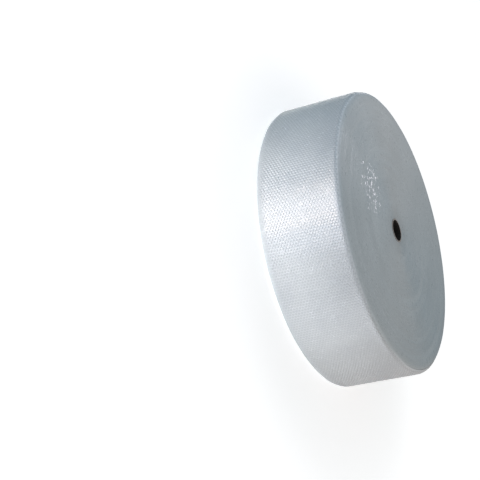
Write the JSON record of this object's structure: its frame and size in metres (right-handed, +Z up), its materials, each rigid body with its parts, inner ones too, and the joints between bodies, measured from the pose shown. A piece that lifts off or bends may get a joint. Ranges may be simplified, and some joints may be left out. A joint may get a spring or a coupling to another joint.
{
  "type": "bubble wrap roll",
  "caption": "Full roll of clear small-bubble cushioning film, wound on a kraft cardboard core, for wrapping and protecting goods in shipping.",
  "frame": {"origin": "on the core's axis, at the lower end of the bore, in the plane that the roll stands on", "axes": "+Z up along the core's axis; the free end of the web is at the back of the roll, on the +Y side"},
  "size_m": [1.0159, 1.0195, 0.305],
  "materials": {
    "film": "clear polyethylene bubble film, milky where many layers lie together, with soft highlights",
    "kraft": "plain brown spiral-wound paper tube, matt"
  },
  "bodies": {
    "root": {"film_roll": "film", "core_tube": "kraft"}
  },
  "joints": []
}
